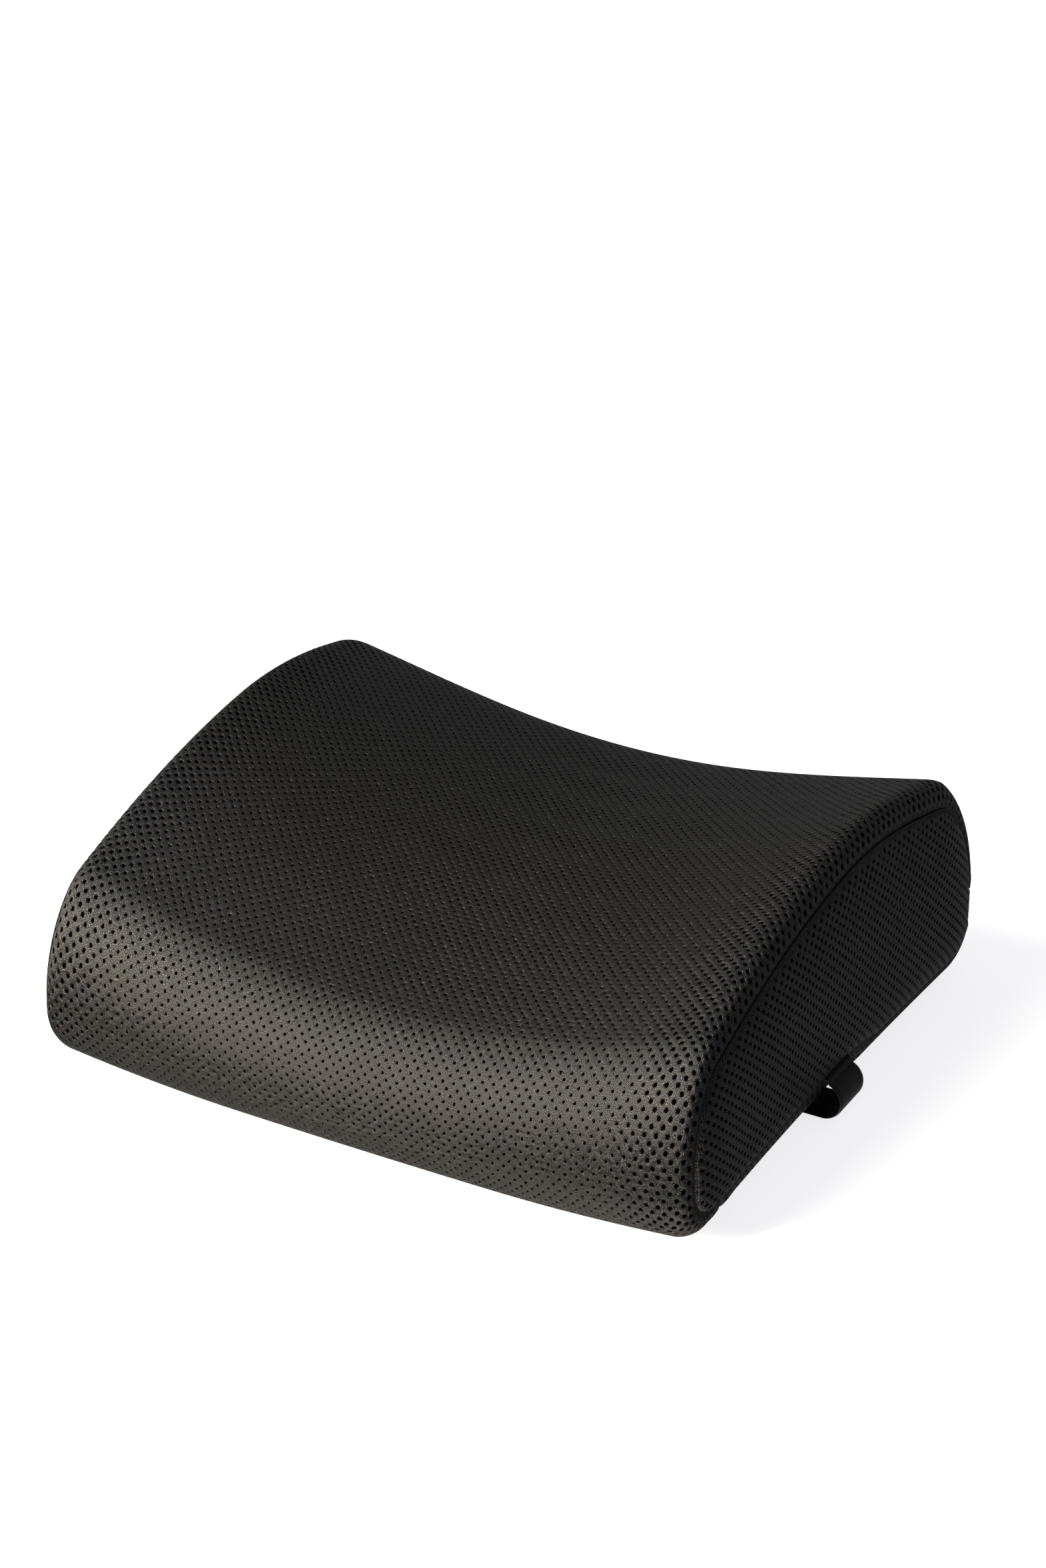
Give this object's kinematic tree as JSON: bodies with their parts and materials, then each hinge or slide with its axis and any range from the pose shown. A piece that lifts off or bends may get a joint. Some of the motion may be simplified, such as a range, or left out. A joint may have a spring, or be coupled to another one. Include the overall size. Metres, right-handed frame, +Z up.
{
  "type": "lumbar support cushion",
  "caption": "Contoured foam lumbar cushion in a zipped black spacer-mesh cover, hollowed from side to side, with a buckled chair strap underneath.",
  "frame": {"origin": "middle of the footprint, on the surface that the cushion lies on", "axes": "+X along the width from end panel to end panel, +Y from the thin edge to the thick edge, +Z up through the side that the back leans on"},
  "size_m": [0.352, 0.3097, 0.1317],
  "materials": {
    "mesh": "knitted spacer mesh, matt with a faint sheen",
    "thread": "sewing thread",
    "tape": "woven zip tape",
    "coil": "moulded teeth, satin",
    "slider_metal": "black enamelled zinc",
    "webbing": "flat woven webbing, satin",
    "buckle_plastic": "fine spark-eroded satin",
    "foam": "moulded open-cell foam skin",
    "liner": "thin jersey knit",
    "label": "satin ribbon, blank"
  },
  "bodies": {
    "cushion": {"foam_core": "foam", "liner_sleeve": "liner", "liner_end_left": "liner", "liner_end_right": "liner", "front_panel": "mesh", "back_panel": "mesh", "end_panel_left": "mesh", "end_panel_right": "mesh", "end_seam_left": "thread", "end_seam_right": "thread", "base_seam": "thread", "zip_end_tab_left": "mesh", "zip_end_tab_right": "mesh", "zip_tape_upper": "tape", "zip_tape_lower": "tape", "zip_teeth_upper": "coil", "zip_teeth_lower": "coil", "zip_stops": "slider_metal", "strap_left": "webbing", "strap_right": "webbing", "strap_fold_stitches": "thread", "tail_hem_stitches": "thread", "buckle_socket": "buckle_plastic", "buckle_plug": "buckle_plastic", "care_label": "label"},
    "slider": {"zip_slider": "slider_metal"},
    "pull_tab": {"zip_pull_tab": "slider_metal"},
    "prong_near": {"buckle_prong_near": "buckle_plastic"},
    "prong_far": {"buckle_prong_far": "buckle_plastic"},
    "keeper": {"strap_keeper": "buckle_plastic"}
  },
  "joints": [
    {"name": "zip_slide", "type": "slide", "parent": "cushion", "child": "slider", "axis": [-1, 0, 0], "range_m": [0, 0.272]},
    {"name": "pull_tab_flip", "type": "hinge", "parent": "slider", "child": "pull_tab", "pos_m": [0.1395, 0.1526, 0.0355], "axis": [0, 0, -1], "range_deg": [0, 165]},
    {"name": "prong_near_press", "type": "hinge", "parent": "cushion", "child": "prong_near", "pos_m": [-0.0012, -0.0099, 0.0045], "axis": [0, 0, -1], "range_deg": [0, 12], "stiffness_Nm_per_rad": 0.15},
    {"name": "prong_far_press", "type": "hinge", "parent": "cushion", "child": "prong_far", "pos_m": [-0.0012, 0.0099, 0.0045], "axis": [0, 0, 1], "range_deg": [0, 12], "stiffness_Nm_per_rad": 0.15},
    {"name": "keeper_slide", "type": "slide", "parent": "cushion", "child": "keeper", "axis": [1, 0, 0], "range_m": [-0.035, 0.02]}
  ],
  "couplings": [
    {"joint": "prong_far_press", "follows": "prong_near_press", "ratio": 1}
  ]
}
